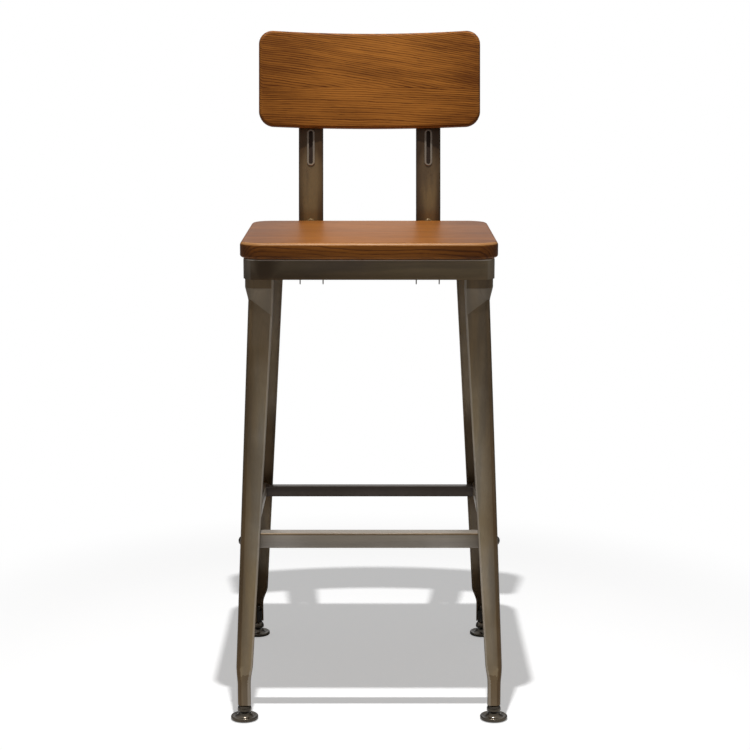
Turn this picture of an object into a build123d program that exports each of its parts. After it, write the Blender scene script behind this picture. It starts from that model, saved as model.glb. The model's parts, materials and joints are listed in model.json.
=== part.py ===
from build123d import *
import os
from math import cos, radians, sin, sqrt

# A bar stool with a wooden seat and back on a pressed-steel frame.
# Millimetres, +Z up, the sitter faces -Y, and the floor is Z = 0.

# Sheet steel
SHEET = 2.0
EDGE_ROUND = 0.8

# Wooden seat board
SEAT_TOP = 762.0
SEAT_WIDTH = 407.0
SEAT_DEPTH = 362.0
SEAT_THICK = 25.0
SEAT_CORNER = 36.0
SEAT_TOP_ROUND = 6.0
SEAT_BOTTOM_ROUND = 4.0
SEAT_BOTTOM = SEAT_TOP - SEAT_THICK

# Steel seat pan: a band with a flange turned in under the board
PAN_WIDTH = 396.0
PAN_DEPTH = 352.0
PAN_HEIGHT = 33.0
PAN_CORNER = 25.0
PAN_FOLD = 3.5
PAN_FLANGE = 30.0
PAN_BOTTOM = SEAT_BOTTOM - PAN_HEIGHT

# Wood screws through the pan's flange into the board
SCREW_PLACES = [(181, 60), (60, 158)]
SCREW_RADIUS = 2.1
SCREW_HEAD_RADIUS = 4.2
SCREW_HEAD = 2.8
SCREW_LENGTH = 18.0

# Legs: an angle section whose outer corner follows a straight splayed line.
# The corner's place, and the widths of the two faces, at two heights.
SHANK_TOP = 668.0
SHANK_BOTTOM = 90.0
CORNER_X_TOP, CORNER_X_BOTTOM = 190.5, 212.4
CORNER_Y_TOP, CORNER_Y_BOTTOM = 166.4, 224.1
FRONT_FACE_TOP, FRONT_FACE_BOTTOM = 39.8, 26.7
SIDE_FACE_TOP, SIDE_FACE_BOTTOM = 64.0, 35.0
LEG_LIP = 6.0
LEG_FOLD = 3.5
LEG_BEND = 8.0

# Leg head, which stands upright inside the pan's corner.
# A slanted facet joins it to the shank: it starts at the corner and runs down to the free edges.
HEAD_TOP = SEAT_BOTTOM - SHEET - PAN_FOLD
HEAD_BOTTOM = 690.0
FACET_CORNER_Z = 674.0
FACET_FRONT_SLOPE = 0.78
FACET_SIDE_SLOPE = 0.48
HEAD_GAP = 0.2
HEAD_FRONT_FACE = 46.0
HEAD_SIDE_FACE = 64.0

# Leg neck, drawn in to a small tube round the levelling stud
NECK_TOP = 58.0
NECK_BOTTOM = 24.9
NECK_SIZE = 21.0
NECK_LIP = 9.5
NECK_FOLD = 5.5
BLEND_STEPS = 6

# Where the glides stand
FOOT_FRONT_X = 200.0
FOOT_REAR_X = 205.0
FOOT_Y = 220.0

# Footrest rails, all with their undersides at one height
RAIL_BOTTOM = 271.8
FRONT_RAIL = 25.0
SMALL_RAIL = 19.0
RAIL_WALL = 1.8
RAIL_CORNER = 3.2
SIDE_RAIL_OUT = 202.5
SIDE_RAIL_HALF = 195.0
RAIL_OUT_Y = 182.5
RAIL_BOLT_Z = RAIL_BOTTOM + SMALL_RAIL / 2
NOTCH_ROOM = 0.6

# Footrest bolts and the plugs they screw into
RAIL_BOLT_RADIUS = 4.0
RAIL_BOLT_HOLE = 4.3
RAIL_BOLT_HEAD_RADIUS = 7.5
RAIL_BOLT_HEAD = 4.4
RAIL_BOLT_SEAT_X = 205.6
RAIL_PLUG_LENGTH = 16.0
PLUG_GAP = 0.15

# Uprights: channels bent back above the seat
UPRIGHT_X = 102.2
UPRIGHT_WIDTH = 42.4
UPRIGHT_FLANGE = 17.0
UPRIGHT_FOLD = 4.5
UPRIGHT_FRONT_Y = 184.0
LEAN = 10.0
BEND_Z = 779.0
BEND_RADIUS = 80.0
UPRIGHT_LENGTH = 274.0
WEB_END_Z = 690.0
FLANGE_TIP_Z = 647.0
TOP_CHAMFER = 9.0

# Rimmed slots in the uprights
SLOT_LENGTH = 57.6
TOP_SLOT_LENGTH = 64.0
SLOT_WIDTH = 7.0
RIM_WIDTH = 3.5
RIM_HEIGHT = 2.0
RIM_ROUND = 1.6
LOW_SLOT_Z = 732.4
MID_SLOT_V = 109.5

# Backrest board, curved in plan; V runs up the lean from the bend
BACK_WIDTH = 380.5
BACK_HEIGHT = 164.5
BACK_THICK = 20.0
BACK_SAG = 40.0
BACK_CORNER = 24.5
BACK_ROUND = 5.0
BACK_BOTTOM_V = 142.5
BACK_BULGE = 13.7
SLIDE_GAP = 0.25
BACK_TRAVEL = 12.0
GROOVE_WIDTH = 16.0
GROOVE_DEPTH = 2.5
TOP_SLOT_V = BACK_BOTTOM_V + BACK_HEIGHT / 2

# Clamp strips behind the uprights' webs
STRIP_WIDTH = 28.0
STRIP_THICK = 4.0
STRIP_LOW_V = 66.0
STRIP_HIGH_V = 252.0
STRIP_CORNER = 6.0

# M6 fasteners of the back
BOLT_RADIUS = 3.0
BOLT_HOLE = 3.3
BOLT_HEAD_RADIUS = 5.5
BOLT_HEAD = 3.3
BOLT_SOCKET_ACROSS = 4.0
BACK_BOLT_STEP = 16.0
INSERT_RADIUS = 4.5
INSERT_LENGTH = 10.5
INSERT_START = 2.8
WASHER_RADIUS = 6.2
WASHER_THICK = 1.2
PAN_BOLT_HEIGHTS = (711.0, 727.0)
NUT_ACROSS = 10.0
NUT_HEIGHT = 5.0

# Glides: a stud with a dome and a ball, a liner, a flared base and a pad
BALL_Z = 8.5
BALL_RADIUS = 5.0
BALL_FLAT = 4.0
LINER_RADIUS = 8.05
LINER_LOW = 4.2
LINER_HIGH = 2.5
RUN_GAP = 0.05
BASE_RADIUS = 22.0
BASE_TOP = 11.5
BASE_HUB_RADIUS = 10.2
BASE_RIM_LOW = 0.7
BASE_RIM_HIGH = 6.4
BASE_RIM_WIDTH = 4.4
GROOVE_RADIUS = 15.5
GROOVE_Z = 4.9
FLARE_RADIUS = 9.0
PAD_RADIUS = 18.5
PAD_THICK = 2.45
PAD_ROUND = 0.7
PAD_RECESS = 2.5
STUD_NECK_RADIUS = 3.2
DOME_LOW = 12.6
DOME_EDGE = 14.8
DOME_SIDE = 17.0
DOME_TOP = 24.6
DOME_RADIUS = 11.3
DOME_TOP_RADIUS = 6.4
THREAD_RADIUS = 5.0
THREAD_ROOT = 4.2
THREAD_PITCH = 1.5
THREAD_TURNS = 8
STUD_TOP = 54.0
FOOT_PLUG_RADIUS = 8.3
FOOT_PLUG_LOW = 24.9
FOOT_PLUG_HIGH = 45.0
SIDES = (("left", -1), ("right", 1))
ENDS = (("front", -1), ("rear", 1))


# Shared shapes
def rod(radius, start, direction, length):
    """A round bar from a point, along a direction."""
    return Solid.make_cylinder(radius, length, Plane(origin=start, z_dir=direction))


def turned(*curves):
    """A solid turned about Z from an outline of curves, drawn with X as radius and Y as height."""
    return revolve(Plane.XZ * make_face(curves), Axis.Z)


def dome_bolt(radius, length, head_radius, head, socket_across):
    """A button-head bolt along -Z, with its head's seat at Z = 0 and a hexagon socket on top."""
    crown_radius = (head_radius ** 2 + head ** 2) / (2 * head)
    crown = Pos(0, 0, head - crown_radius) * Sphere(crown_radius)
    cap = crown & Pos(0, 0, head / 2) * Cylinder(head_radius, head)
    shank = Pos(0, 0, -length / 2) * Cylinder(radius, length)
    socket_depth = head * 0.6
    socket = extrude(RegularPolygon(socket_across / 2, 6, major_radius=False), head)
    return cap + shank - Pos(0, 0, head - socket_depth) * socket


def ring(outer_radius, inner_radius, height):
    """A washer or sleeve standing on Z = 0."""
    return extrude(Circle(outer_radius) - Circle(inner_radius), height)


def square_tube(size, length):
    """A square tube along Z, centred, with rounded corners."""
    inside = size - 2 * RAIL_WALL
    wall = RectangleRounded(size, size, RAIL_CORNER)
    wall -= RectangleRounded(inside, inside, RAIL_CORNER - RAIL_WALL)
    return Pos(0, 0, -length / 2) * extrude(wall, length)


def blend(share):
    """A smooth step from 0 to 1 with level ends."""
    return share * share * (3 - 2 * share)


def between(low, high, share):
    return low + (high - low) * share


# Seat
def four_corners(places):
    return [(sx * x, sy * y) for x, y in places for sx in (-1, 1) for sy in (-1, 1)]


def seat_board():
    plan = RectangleRounded(SEAT_WIDTH, SEAT_DEPTH, SEAT_CORNER)
    board = Pos(0, 0, SEAT_BOTTOM) * extrude(plan, SEAT_THICK)
    board = fillet(board.faces().sort_by(Axis.Z)[-1].edges(), SEAT_TOP_ROUND)
    board = fillet(board.faces().sort_by(Axis.Z)[0].edges(), SEAT_BOTTOM_ROUND)
    for x, y in four_corners(SCREW_PLACES):
        board -= rod(SCREW_RADIUS + RUN_GAP, (x, y, SEAT_BOTTOM), (0, 0, 1), SCREW_LENGTH + 1)
    return board


def pan_block(inset, height, fold):
    """A rounded block the size of the pan, drawn in on every side, with its top edge rounded."""
    plan = RectangleRounded(PAN_WIDTH - 2 * inset, PAN_DEPTH - 2 * inset, PAN_CORNER - inset)
    block = extrude(plan, height)
    return fillet(block.faces().sort_by(Axis.Z)[-1].edges(), fold)


def seat_pan():
    shell = pan_block(0, PAN_HEIGHT, PAN_FOLD)
    shell -= pan_block(SHEET, PAN_HEIGHT - SHEET, PAN_FOLD - SHEET)
    drawn_in = 2 * (SHEET + PAN_FLANGE)
    window = RectangleRounded(PAN_WIDTH - drawn_in, PAN_DEPTH - drawn_in, PAN_CORNER)
    shell -= extrude(window, PAN_HEIGHT)
    shell = Pos(0, 0, PAN_BOTTOM) * shell
    for x, y in four_corners(SCREW_PLACES):
        shell -= rod(SCREW_RADIUS + 0.3, (x, y, SEAT_BOTTOM - 2 * SHEET), (0, 0, 1), 3 * SHEET)
    for _, side in SIDES:
        for height in PAN_BOLT_HEIGHTS:
            start = (side * UPRIGHT_X, PAN_DEPTH / 2 - 2 * SHEET, height)
            shell -= rod(BOLT_HOLE, start, (0, 1, 0), 3 * SHEET)
    return shell


def seat_screws():
    screw = dome_bolt(SCREW_RADIUS, SCREW_LENGTH, SCREW_HEAD_RADIUS, SCREW_HEAD, SCREW_HEAD_RADIUS)
    upside_down = Rot(180, 0, 0) * screw
    return [Pos(x, y, SEAT_BOTTOM - SHEET) * upside_down for x, y in four_corners(SCREW_PLACES)]


# Legs, drawn for the corner at +X +Y
def shank_shape(height):
    """Corner place, face widths, lip, fold and bend of the straight part at a height."""
    share = (height - SHANK_BOTTOM) / (SHANK_TOP - SHANK_BOTTOM)
    corner_x = between(CORNER_X_BOTTOM, CORNER_X_TOP, share)
    corner_y = between(CORNER_Y_BOTTOM, CORNER_Y_TOP, share)
    front_face = between(FRONT_FACE_BOTTOM, FRONT_FACE_TOP, share)
    side_face = between(SIDE_FACE_BOTTOM, SIDE_FACE_TOP, share)
    return corner_x, corner_y, front_face, side_face, LEG_LIP, LEG_FOLD, LEG_BEND


def head_shape():
    corner_x = PAN_WIDTH / 2 - SHEET - HEAD_GAP
    corner_y = PAN_DEPTH / 2 - SHEET - HEAD_GAP
    return corner_x, corner_y, HEAD_FRONT_FACE, HEAD_SIDE_FACE, LEG_LIP, LEG_FOLD, PAN_CORNER - SHEET


def neck_shape(foot_x):
    half = NECK_SIZE / 2
    return foot_x + half, FOOT_Y + half, NECK_SIZE, NECK_SIZE, NECK_LIP, NECK_FOLD, LEG_BEND


def leg_section(height, shape):
    """The angle section at a height: two faces with lips folded in at their free edges."""
    x, y, front_face, side_face, lip, fold, bend = shape
    far_x = x - front_face
    far_y = y - side_face
    outline = [(far_x, y - lip), (far_x, y), (x, y), (x, far_y), (x - lip, far_y),
               (x - lip, far_y + SHEET), (x - SHEET, far_y + SHEET), (x - SHEET, y - SHEET),
               (far_x + SHEET, y - SHEET), (far_x + SHEET, y - lip)]
    radii = [0, fold, bend, fold, 0, 0, fold - SHEET, bend - SHEET, fold - SHEET, 0]
    return Pos(0, 0, height) * make_face(FilletPolyline(*outline, radius=radii, close=True))


def blended_sections(low, high, low_shape, high_shape):
    """Sections from one height to another, where one shape turns smoothly into the other."""
    sections = []
    for step in range(BLEND_STEPS + 1):
        share = step / BLEND_STEPS
        height = between(low, high, share)
        pairs = zip(low_shape(height), high_shape(height))
        sections.append(leg_section(height, [between(a, b, blend(share)) for a, b in pairs]))
    return sections


def facet_plane():
    """The slanted plane where the shank ends: highest at the corner, lower towards both free edges."""
    corner_x, corner_y = shank_shape(FACET_CORNER_Z)[:2]
    across = (-FACET_FRONT_SLOPE, -FACET_SIDE_SLOPE, 1)
    return Plane(origin=(corner_x, corner_y, FACET_CORNER_Z), z_dir=across)


def leg(foot_x):
    head = head_shape()
    neck = neck_shape(foot_x)
    solid = loft([leg_section(NECK_BOTTOM, neck), leg_section(NECK_TOP, neck)], ruled=True)
    solid += loft(blended_sections(NECK_TOP, SHANK_BOTTOM, lambda height: neck, shank_shape))
    slant = facet_plane()
    shank = [leg_section(height, shank_shape(height)) for height in (SHANK_BOTTOM, HEAD_BOTTOM)]
    shank = split(loft(shank, ruled=True), bisect_by=slant, keep=Keep.BOTTOM)
    solid += shank
    shank_end = [face for face in shank.faces() if face.normal_at().dot(slant.z_dir) > 0.999]
    solid += loft([shank_end[0], leg_section(HEAD_BOTTOM, head)], ruled=True)
    solid += loft([leg_section(HEAD_BOTTOM, head), leg_section(HEAD_TOP, head)], ruled=True)
    notch_height = SMALL_RAIL + 2 * NOTCH_ROOM
    notch = Box(SMALL_RAIL, 2 * LEG_LIP, notch_height, align=(Align.MAX, Align.CENTER, Align.MIN))
    notch_y = shank_shape(RAIL_BOLT_Z)[1] - shank_shape(RAIL_BOLT_Z)[3]
    solid -= Pos(SIDE_RAIL_OUT, notch_y, RAIL_BOTTOM - NOTCH_ROOM) * notch
    return solid


def rail_bolt_y(end):
    """The rail bolts lie on the axes of the front and rear rails."""
    size = FRONT_RAIL if end < 0 else SMALL_RAIL
    return end * (RAIL_OUT_Y - size / 2)


def placed_leg(side, end):
    solid = leg(FOOT_FRONT_X if end < 0 else FOOT_REAR_X)
    if side < 0:
        solid = mirror(solid, about=Plane.YZ)
    if end < 0:
        solid = mirror(solid, about=Plane.XZ)
    hole_start = (side * SIDE_RAIL_OUT, rail_bolt_y(end), RAIL_BOLT_Z)
    return solid - rod(RAIL_BOLT_HOLE, hole_start, (side, 0, 0), 4 * SHEET)


# Footrest
def cross_rail(size, end):
    length = 2 * (SIDE_RAIL_OUT - SMALL_RAIL)
    centre_y = end * (RAIL_OUT_Y - size / 2)
    return Pos(0, centre_y, RAIL_BOTTOM + size / 2) * Rot(0, 90, 0) * square_tube(size, length)


def side_rail(side):
    centre_x = side * (SIDE_RAIL_OUT - SMALL_RAIL / 2)
    tube = square_tube(SMALL_RAIL, 2 * SIDE_RAIL_HALF)
    rail = Pos(centre_x, 0, RAIL_BOLT_Z) * Rot(90, 0, 0) * tube
    for _, end in ENDS:
        start = (centre_x - SMALL_RAIL, rail_bolt_y(end), RAIL_BOLT_Z)
        rail -= rod(RAIL_BOLT_HOLE, start, (1, 0, 0), 2 * SMALL_RAIL)
    return rail


def rail_plugs():
    plugs = []
    for _, end in ENDS:
        size = FRONT_RAIL if end < 0 else SMALL_RAIL
        across = size - 2 * RAIL_WALL - 2 * PLUG_GAP
        for _, side in SIDES:
            mouth_x = side * (SIDE_RAIL_OUT - SMALL_RAIL)
            centre_x = mouth_x - side * RAIL_PLUG_LENGTH / 2
            centre = Pos(centre_x, rail_bolt_y(end), RAIL_BOTTOM + size / 2)
            block = centre * Box(RAIL_PLUG_LENGTH, across, across)
            block = fillet(block.edges().filter_by(Axis.X), RAIL_CORNER - RAIL_WALL)
            start = (mouth_x + side, rail_bolt_y(end), RAIL_BOLT_Z)
            bore = rod(RAIL_BOLT_RADIUS + RUN_GAP, start, (-side, 0, 0), 2 * RAIL_PLUG_LENGTH)
            plugs.append(block - bore)
    return plugs


def rail_bolts():
    length = RAIL_BOLT_SEAT_X - (SIDE_RAIL_OUT - SMALL_RAIL) + RAIL_PLUG_LENGTH - 2
    bolt = dome_bolt(RAIL_BOLT_RADIUS, length, RAIL_BOLT_HEAD_RADIUS, RAIL_BOLT_HEAD, RAIL_BOLT_RADIUS)
    bolts = []
    for _, end in ENDS:
        for _, side in SIDES:
            place = Pos(side * RAIL_BOLT_SEAT_X, rail_bolt_y(end), RAIL_BOLT_Z)
            bolts.append(place * Rot(0, side * 90, 0) * bolt)
    return bolts


# Back: a plane on the uprights' leaning front, with local Y up the lean and local Z to the front
LEAN_SIN = sin(radians(LEAN))
LEAN_COS = cos(radians(LEAN))
LEAN_FRONT = (0, -LEAN_COS, LEAN_SIN)
LEAN_PLANE = Plane(origin=(0, UPRIGHT_FRONT_Y, BEND_Z), x_dir=(1, 0, 0), z_dir=LEAN_FRONT)
UPRIGHT_PLANE = Plane(origin=(0, UPRIGHT_FRONT_Y, 0), x_dir=(1, 0, 0), z_dir=(0, -1, 0))


def channel_section():
    """The channel in plan: web to the front, flanges turned back, centred on the upright."""
    half = UPRIGHT_WIDTH / 2
    inner = half - SHEET
    front = UPRIGHT_FRONT_Y
    back = front + UPRIGHT_FLANGE
    web = front + SHEET
    outline = [(-half, back), (-half, front), (half, front), (half, back),
               (inner, back), (inner, web), (-inner, web), (-inner, back)]
    inside = UPRIGHT_FOLD - SHEET
    radii = [EDGE_ROUND, UPRIGHT_FOLD, UPRIGHT_FOLD, EDGE_ROUND, EDGE_ROUND, inside, inside, EDGE_ROUND]
    return make_face(FilletPolyline(*outline, radius=radii, close=True))


def slot_hole(plane, centre_v, length):
    """A cutter for one slot, and the raised rim pressed up round it."""
    upright_slot = Rot(0, 0, 90) * SlotOverall(length, SLOT_WIDTH)
    rim_outline = Rot(0, 0, 90) * SlotOverall(length + 2 * RIM_WIDTH, SLOT_WIDTH + 2 * RIM_WIDTH)
    rim = extrude(rim_outline, RIM_HEIGHT)
    rim = fillet(rim.faces().sort_by(Axis.Z)[-1].edges(), RIM_ROUND)
    cutter = Pos(0, 0, -2 * SHEET) * extrude(upright_slot, 4 * SHEET)
    place = Pos(0, centre_v, 0)
    return plane * place * cutter, plane * place * rim


def end_cutter(points):
    """A prism across the upright, from an outline of (y, z) points."""
    outline = Polyline(*[(0, y, z) for y, z in points], close=True)
    return extrude(make_face(outline), UPRIGHT_WIDTH, dir=(1, 0, 0), both=True)


def lean_point(up, back):
    """A (y, z) point at a distance up the lean and back from the web's front."""
    y = UPRIGHT_FRONT_Y + up * LEAN_SIN + back * LEAN_COS
    z = BEND_Z + up * LEAN_COS - back * LEAN_SIN
    return y, z


def upright(side):
    top_y, top_z = lean_point(UPRIGHT_LENGTH, 0)
    foot = (0, UPRIGHT_FRONT_Y, FLANGE_TIP_Z)
    path = FilletPolyline(foot, (0, UPRIGHT_FRONT_Y, BEND_Z), (0, top_y, top_z), radius=BEND_RADIUS)
    solid = sweep(Pos(0, 0, FLANGE_TIP_Z) * channel_section(), path)
    back_y = UPRIGHT_FRONT_Y + UPRIGHT_FLANGE
    low_cut = [(UPRIGHT_FRONT_Y - SHEET, WEB_END_Z), (UPRIGHT_FRONT_Y + SHEET, WEB_END_Z),
               (back_y, FLANGE_TIP_Z), (back_y, FLANGE_TIP_Z - SHEET),
               (UPRIGHT_FRONT_Y - SHEET, FLANGE_TIP_Z - SHEET)]
    solid -= end_cutter(low_cut)
    solid -= end_cutter([lean_point(UPRIGHT_LENGTH + SHEET, UPRIGHT_FLANGE - TOP_CHAMFER),
                         lean_point(UPRIGHT_LENGTH + SHEET, UPRIGHT_FLANGE + SHEET),
                         lean_point(UPRIGHT_LENGTH - TOP_CHAMFER, UPRIGHT_FLANGE + SHEET)])
    slots = [(UPRIGHT_PLANE, LOW_SLOT_Z, SLOT_LENGTH), (LEAN_PLANE, MID_SLOT_V, SLOT_LENGTH),
             (LEAN_PLANE, TOP_SLOT_V, TOP_SLOT_LENGTH)]
    for plane, centre_v, length in slots:
        cutter, rim = slot_hole(plane, centre_v, length)
        solid += rim
        solid -= cutter
    return Pos(side * UPRIGHT_X, 0, 0) * solid


def upright_fastener(shape, y):
    """One fastener for each pan bolt, standing along +Y from the given Y."""
    places = [(side * UPRIGHT_X, height) for _, side in SIDES for height in PAN_BOLT_HEIGHTS]
    return [Pos(x, y, height) * Rot(-90, 0, 0) * shape for x, height in places]


def upright_bolts():
    seat_y = UPRIGHT_FRONT_Y + SHEET + WASHER_THICK
    length = seat_y - PAN_DEPTH / 2 + SHEET + NUT_HEIGHT + 2
    bolt = dome_bolt(BOLT_RADIUS, length, BOLT_HEAD_RADIUS, BOLT_HEAD, BOLT_SOCKET_ACROSS)
    return upright_fastener(bolt, seat_y)


def upright_washers():
    return upright_fastener(ring(WASHER_RADIUS, BOLT_HOLE, WASHER_THICK), UPRIGHT_FRONT_Y + SHEET)


def upright_spacers():
    gap = UPRIGHT_FRONT_Y - RIM_HEIGHT - PAN_DEPTH / 2
    return upright_fastener(ring(WASHER_RADIUS, BOLT_HOLE, gap), PAN_DEPTH / 2)


def upright_nuts():
    hexagon = RegularPolygon(NUT_ACROSS / 2, 6, major_radius=False) - Circle(BOLT_RADIUS + RUN_GAP)
    return upright_fastener(extrude(hexagon, NUT_HEIGHT), PAN_DEPTH / 2 - SHEET - NUT_HEIGHT)


def back_bolt_places():
    """Places of the board's bolts on the leaning plane."""
    steps = (-BACK_BOLT_STEP, BACK_BOLT_STEP)
    return [(side * UPRIGHT_X, TOP_SLOT_V + step) for _, side in SIDES for step in steps]


def backrest_board():
    """The board, drawn with its bottom edge on Z = 0, its back towards +Y, then leant back."""
    half = BACK_WIDTH / 2
    front = BACK_BULGE - BACK_THICK
    front_radius = (half ** 2 + BACK_SAG ** 2) / (2 * BACK_SAG)
    back_radius = front_radius + BACK_THICK
    back_sag = back_radius - sqrt(back_radius ** 2 - half ** 2)
    front_arc = ThreePointArc((-half, front - BACK_SAG), (0, front), (half, front - BACK_SAG))
    back_end = BACK_BULGE - back_sag
    back_arc = ThreePointArc((half, back_end), (0, BACK_BULGE), (-half, back_end))
    ends = [Line(front_arc @ 1, back_arc @ 0), Line(back_arc @ 1, front_arc @ 0)]
    board = extrude(make_face([front_arc, ends[0], back_arc, ends[1]]), BACK_HEIGHT)
    board = fillet(board.edges().filter_by(Axis.Y), BACK_CORNER)
    curved = board.faces().filter_by(GeomType.CYLINDER).sort_by(SortBy.AREA)[-2:]
    board = fillet(curved.edges(), BACK_ROUND)
    seat_high = UPRIGHT_LENGTH + BACK_TRAVEL + 2 - BACK_BOTTOM_V
    seat_width = UPRIGHT_WIDTH + 1
    on_back = (Align.CENTER, Align.MIN, Align.MIN)
    seat = Box(seat_width, BACK_THICK, seat_high + 2, align=on_back)
    groove = Box(GROOVE_WIDTH, BACK_THICK, seat_high + 2, align=on_back)
    for _, side in SIDES:
        board -= Pos(side * UPRIGHT_X, -SLIDE_GAP, -2) * seat
        board -= Pos(side * UPRIGHT_X, -GROOVE_DEPTH, -2) * groove
    for x, v in back_bolt_places():
        start = (x, 0, v - BACK_BOTTOM_V)
        board -= rod(INSERT_RADIUS + RUN_GAP, start, (0, -1, 0), INSERT_START + INSERT_LENGTH + 0.5)
    bottom = LEAN_PLANE * Pos(0, BACK_BOTTOM_V, 0) * Rot(-90, 0, 0)
    return bottom * board


def back_fastener(shape, back):
    """One fastener for each back bolt, standing backwards from a distance behind the web's front."""
    flip = Rot(180, 0, 0)
    return [LEAN_PLANE * Pos(x, v, -back) * flip * shape for x, v in back_bolt_places()]


def strip_back():
    return SHEET + SLIDE_GAP + STRIP_THICK


def clamp_strip(side):
    height = STRIP_HIGH_V - STRIP_LOW_V
    blank = RectangleRounded(STRIP_WIDTH, height, STRIP_CORNER)
    place = Pos(side * UPRIGHT_X, STRIP_LOW_V + height / 2, -strip_back())
    strip = LEAN_PLANE * place * extrude(blank, STRIP_THICK)
    for x, v in back_bolt_places():
        hole = LEAN_PLANE * Pos(x, v, -strip_back()) * Cylinder(BOLT_HOLE, 4 * STRIP_THICK)
        strip -= hole
    return strip


def backrest_bolts():
    length = strip_back() + WASHER_THICK + GROOVE_DEPTH + INSERT_LENGTH
    bolt = dome_bolt(BOLT_RADIUS, length, BOLT_HEAD_RADIUS, BOLT_HEAD, BOLT_SOCKET_ACROSS)
    return back_fastener(bolt, strip_back() + WASHER_THICK)


def backrest_washers():
    return back_fastener(ring(WASHER_RADIUS, BOLT_HOLE, WASHER_THICK), strip_back())


def backrest_inserts():
    insert = ring(INSERT_RADIUS, BOLT_RADIUS + RUN_GAP, INSERT_LENGTH)
    return back_fastener(insert, -INSERT_START - INSERT_LENGTH)


# Glides, drawn about the Z axis
def foot_plug():
    sleeve = ring(FOOT_PLUG_RADIUS, THREAD_RADIUS + RUN_GAP, FOOT_PLUG_HIGH - FOOT_PLUG_LOW)
    return Pos(0, 0, FOOT_PLUG_LOW) * sleeve


def foot_stud():
    ball = Pos(0, 0, BALL_Z) * Sphere(BALL_RADIUS)
    block = Box(4 * BALL_RADIUS, 4 * BALL_RADIUS, 2 * BALL_RADIUS)
    ball -= Pos(0, 0, BALL_Z - BALL_FLAT - BALL_RADIUS) * block
    neck = rod(STUD_NECK_RADIUS, (0, 0, BALL_Z), (0, 0, 1), DOME_SIDE - BALL_Z)
    shoulder = Polyline((0, DOME_LOW), (STUD_NECK_RADIUS, DOME_LOW),
                        (DOME_RADIUS, DOME_EDGE), (DOME_RADIUS, DOME_SIDE))
    crown_edge = (DOME_TOP_RADIUS, DOME_TOP)
    crown = RadiusArc((DOME_RADIUS, DOME_SIDE), crown_edge, -(DOME_TOP - DOME_SIDE + 1))
    dome = turned(shoulder, crown, Polyline(crown_edge, (0, DOME_TOP), (0, DOME_LOW)))
    thread = [(0, DOME_SIDE), (THREAD_ROOT, DOME_SIDE), (THREAD_ROOT, DOME_TOP)]
    for turn in range(THREAD_TURNS):
        foot = DOME_TOP + turn * THREAD_PITCH
        thread.append((THREAD_RADIUS, foot + 0.45 * THREAD_PITCH))
        thread.append((THREAD_RADIUS, foot + 0.55 * THREAD_PITCH))
        thread.append((THREAD_ROOT, foot + THREAD_PITCH))
    plain_z = DOME_TOP + (THREAD_TURNS + 0.5) * THREAD_PITCH
    thread += [(THREAD_RADIUS, plain_z), (THREAD_RADIUS, STUD_TOP - 1),
               (THREAD_RADIUS - 1, STUD_TOP), (0, STUD_TOP)]
    return ball + neck + dome + turned(Polyline(*thread, close=True))


def ball_slice(radius, low, high):
    """The part of a ball about the swivel centre between two heights from that centre."""
    height = high + low
    slab = Pos(0, 0, BALL_Z + (high - low) / 2) * Cylinder(2 * radius, height)
    return (Pos(0, 0, BALL_Z) * Sphere(radius)) & slab


def foot_liner():
    hollow = Pos(0, 0, BALL_Z) * Sphere(BALL_RADIUS + RUN_GAP)
    return ball_slice(LINER_RADIUS, LINER_LOW, LINER_HIGH) - hollow


def foot_base():
    rim_side = (BASE_RADIUS, BASE_RIM_HIGH - BASE_RIM_WIDTH / 2)
    rim_crest = (BASE_RADIUS - BASE_RIM_WIDTH / 2, BASE_RIM_HIGH)
    groove = (GROOVE_RADIUS, GROOVE_Z)
    flare_head = (BASE_HUB_RADIUS, BASE_TOP - 1)
    foot = Polyline((0, BASE_RIM_LOW), (BASE_RADIUS - EDGE_ROUND, BASE_RIM_LOW),
                    (BASE_RADIUS, BASE_RIM_LOW + EDGE_ROUND), rim_side)
    rolled_rim = RadiusArc(rim_side, rim_crest, -BASE_RIM_WIDTH / 2)
    hub = Polyline(flare_head, (BASE_HUB_RADIUS - 1, BASE_TOP), (0, BASE_TOP), (0, BASE_RIM_LOW))
    base = turned(foot, rolled_rim, Line(rim_crest, groove), RadiusArc(groove, flare_head, FLARE_RADIUS), hub)
    base -= Pos(0, 0, BALL_Z) * Sphere(LINER_RADIUS + RUN_GAP)
    return base - rod(PAD_RADIUS + 0.1, (0, 0, 0), (0, 0, 1), PAD_RECESS)


def foot_pad():
    pad = rod(PAD_RADIUS, (0, 0, 0), (0, 0, 1), PAD_THICK)
    return fillet(pad.faces().sort_by(Axis.Z)[0].edges(), PAD_ROUND)


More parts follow.
